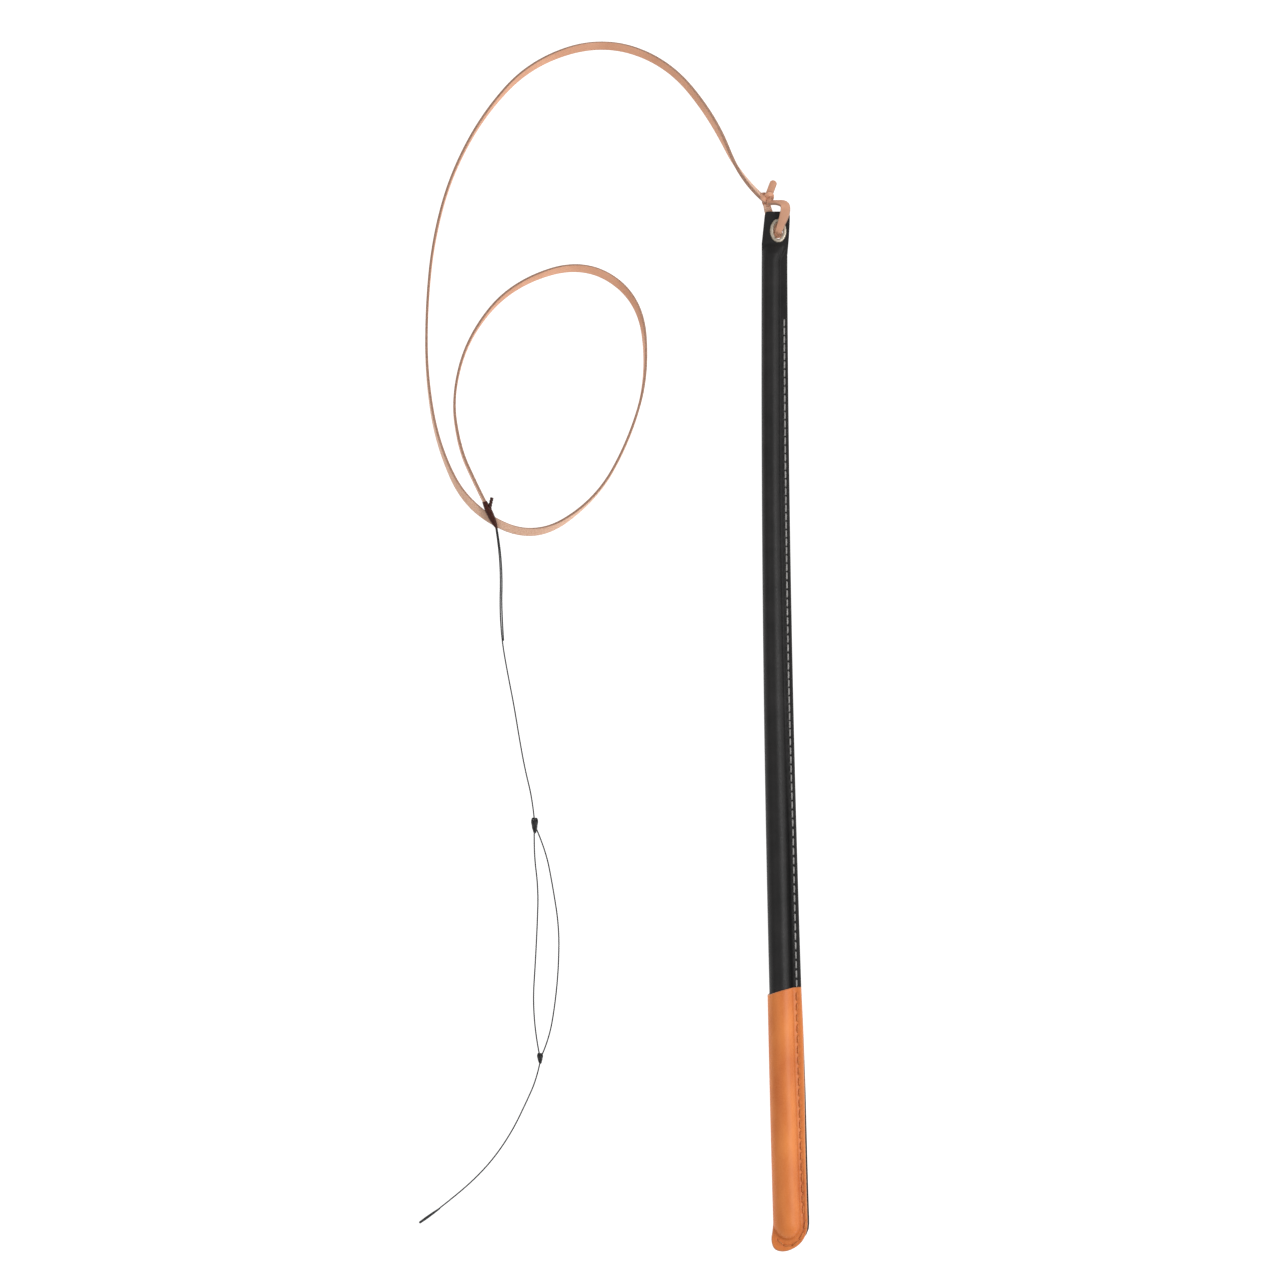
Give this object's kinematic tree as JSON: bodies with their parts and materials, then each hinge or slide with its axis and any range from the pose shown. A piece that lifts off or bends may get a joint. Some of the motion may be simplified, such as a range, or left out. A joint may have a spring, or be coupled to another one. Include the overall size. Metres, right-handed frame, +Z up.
{
  "type": "leather riding whip",
  "caption": "Riding whip: slim stitched leather-covered stock with a contrasting grip, eyelet tip, flat leather thong and thread cracker, lying flat.",
  "frame": {"origin": "on the surface under the middle of the stock", "axes": "+Y from the butt to the tip, +X to the seam side, +Z up from the surface"},
  "size_m": [0.2256, 0.7006, 0.0157],
  "materials": {
    "core_cane": "raw straight cane, matt",
    "black_leather": "smooth, lightly waxed, soft sheen",
    "tan_leather": "smooth bridle leather, satin, paler cut edges",
    "lace_leather": "undyed lace, matt, darker cut edges",
    "eyelet_metal": "aged nickel-plated brass, dull",
    "grey_thread": "waxed seam thread",
    "tan_thread": "waxed seam thread",
    "binding_thread": "dark waxed binding",
    "cracker_thread": "black waxed twine"
  },
  "bodies": {
    "stock": {"core_rod": "core_cane", "shaft_cover": "black_leather", "shaft_thread_front": "grey_thread", "shaft_thread_back": "grey_thread", "eyelet": "eyelet_metal", "eyelet_washer": "eyelet_metal", "grip_cover": "tan_leather", "grip_thread_front": "tan_thread", "grip_thread_back": "tan_thread"},
    "thong": {"thong_knot": "lace_leather", "thong_loop": "lace_leather", "thong_stub": "lace_leather", "thong": "lace_leather", "cracker_hitch": "binding_thread", "cracker_hitch_end": "binding_thread"},
    "cracker": {"cracker_line": "cracker_thread", "cracker_short_end": "cracker_thread", "cracker_knot_upper": "cracker_thread", "cracker_strand_left": "cracker_thread", "cracker_strand_right": "cracker_thread", "cracker_knot_lower": "cracker_thread", "cracker_tail": "cracker_thread", "cracker_whipping": "cracker_thread"}
  },
  "joints": [
    {"name": "thong_swing", "type": "hinge", "parent": "stock", "child": "thong", "pos_m": [0.0013, 0.2887, 0.006], "axis": [0, 0, 1], "range_deg": [-90, 4]},
    {"name": "cracker_swing", "type": "hinge", "parent": "thong", "child": "cracker", "pos_m": [-0.1632, 0.1189, 0.0046], "axis": [0, 0, 1], "range_deg": [-18, 8]}
  ]
}
